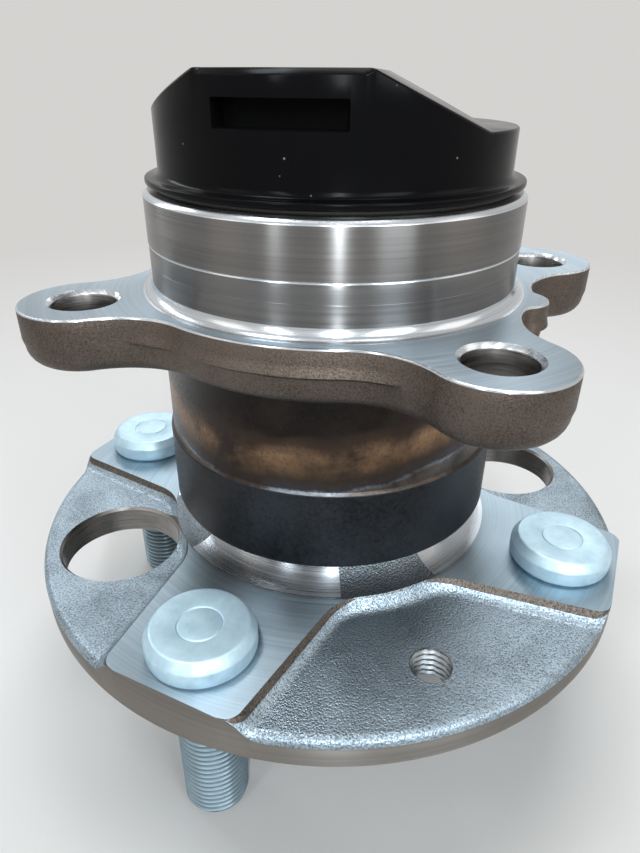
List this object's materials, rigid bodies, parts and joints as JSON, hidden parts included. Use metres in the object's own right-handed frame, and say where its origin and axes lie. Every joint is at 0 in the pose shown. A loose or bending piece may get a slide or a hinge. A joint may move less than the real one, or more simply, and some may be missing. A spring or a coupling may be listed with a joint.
{
  "type": "wheel hub bearing",
  "caption": "Rear wheel hub unit: forged studded hub flange turning in an outer ring with a four-eared knuckle flange, sealed ball rows and a black speed sensor cap.",
  "frame": {"origin": "centre of the stud circle on the wheel mounting face", "axes": "+Z along the bearing axis from the wheel towards the knuckle and the sensor cap; X and Y along the sides of the knuckle bolt rectangle, X along the longer side"},
  "size_m": [0.1228, 0.1228, 0.1229],
  "materials": {
    "ring_steel": "ground and turned on the pilot, dark forged skin on the ears, heat tint on the neck",
    "hub_steel": "shot-blasted forged webs, machined pads and rim",
    "race_steel": "ground",
    "ball_steel": "polished",
    "cage_plastic": "moulded",
    "sheet_steel": "pressed sheet",
    "seal_rubber": "matt",
    "magnet_rubber": "matt",
    "cap_plastic": "glossy moulded black",
    "chip_plastic": "matt",
    "terminal_metal": "tinned",
    "zinc_steel": "zinc plated"
  },
  "bodies": {
    "knuckle_side": {"outer_ring": "ring_steel", "outboard_seal_case": "sheet_steel", "outboard_seal_lips": "seal_rubber", "inboard_seal_case": "sheet_steel", "inboard_seal_lips": "seal_rubber", "sensor_cap_housing": "cap_plastic", "sensor_cap_sleeve": "sheet_steel", "sensor_cap_oring": "seal_rubber", "sensor_element": "chip_plastic", "sensor_terminals": "terminal_metal"},
    "wheel_side": {"hub_spindle": "hub_steel", "inner_ring": "race_steel", "wheel_stud_1": "zinc_steel", "wheel_stud_2": "zinc_steel", "wheel_stud_3": "zinc_steel", "wheel_stud_4": "zinc_steel", "outboard_slinger": "sheet_steel", "encoder_carrier": "sheet_steel", "encoder_magnet": "magnet_rubber"},
    "outboard_row": {"outboard_cage": "cage_plastic", "outboard_balls": "ball_steel"},
    "inboard_row": {"inboard_cage": "cage_plastic", "inboard_balls": "ball_steel"}
  },
  "joints": [
    {"name": "hub_spin", "type": "hinge", "parent": "knuckle_side", "child": "wheel_side", "pos_m": [0, 0, 0.04], "axis": [0, 0, 1], "continuous": true},
    {"name": "outboard_row_spin", "type": "hinge", "parent": "knuckle_side", "child": "outboard_row", "pos_m": [0, 0, 0.0285], "axis": [0, 0, 1], "continuous": true},
    {"name": "inboard_row_spin", "type": "hinge", "parent": "knuckle_side", "child": "inboard_row", "pos_m": [0, 0, 0.0515], "axis": [0, 0, 1], "continuous": true}
  ],
  "couplings": [
    {"joint": "outboard_row_spin", "follows": "hub_spin", "ratio": 0.405},
    {"joint": "inboard_row_spin", "follows": "hub_spin", "ratio": 0.405}
  ]
}
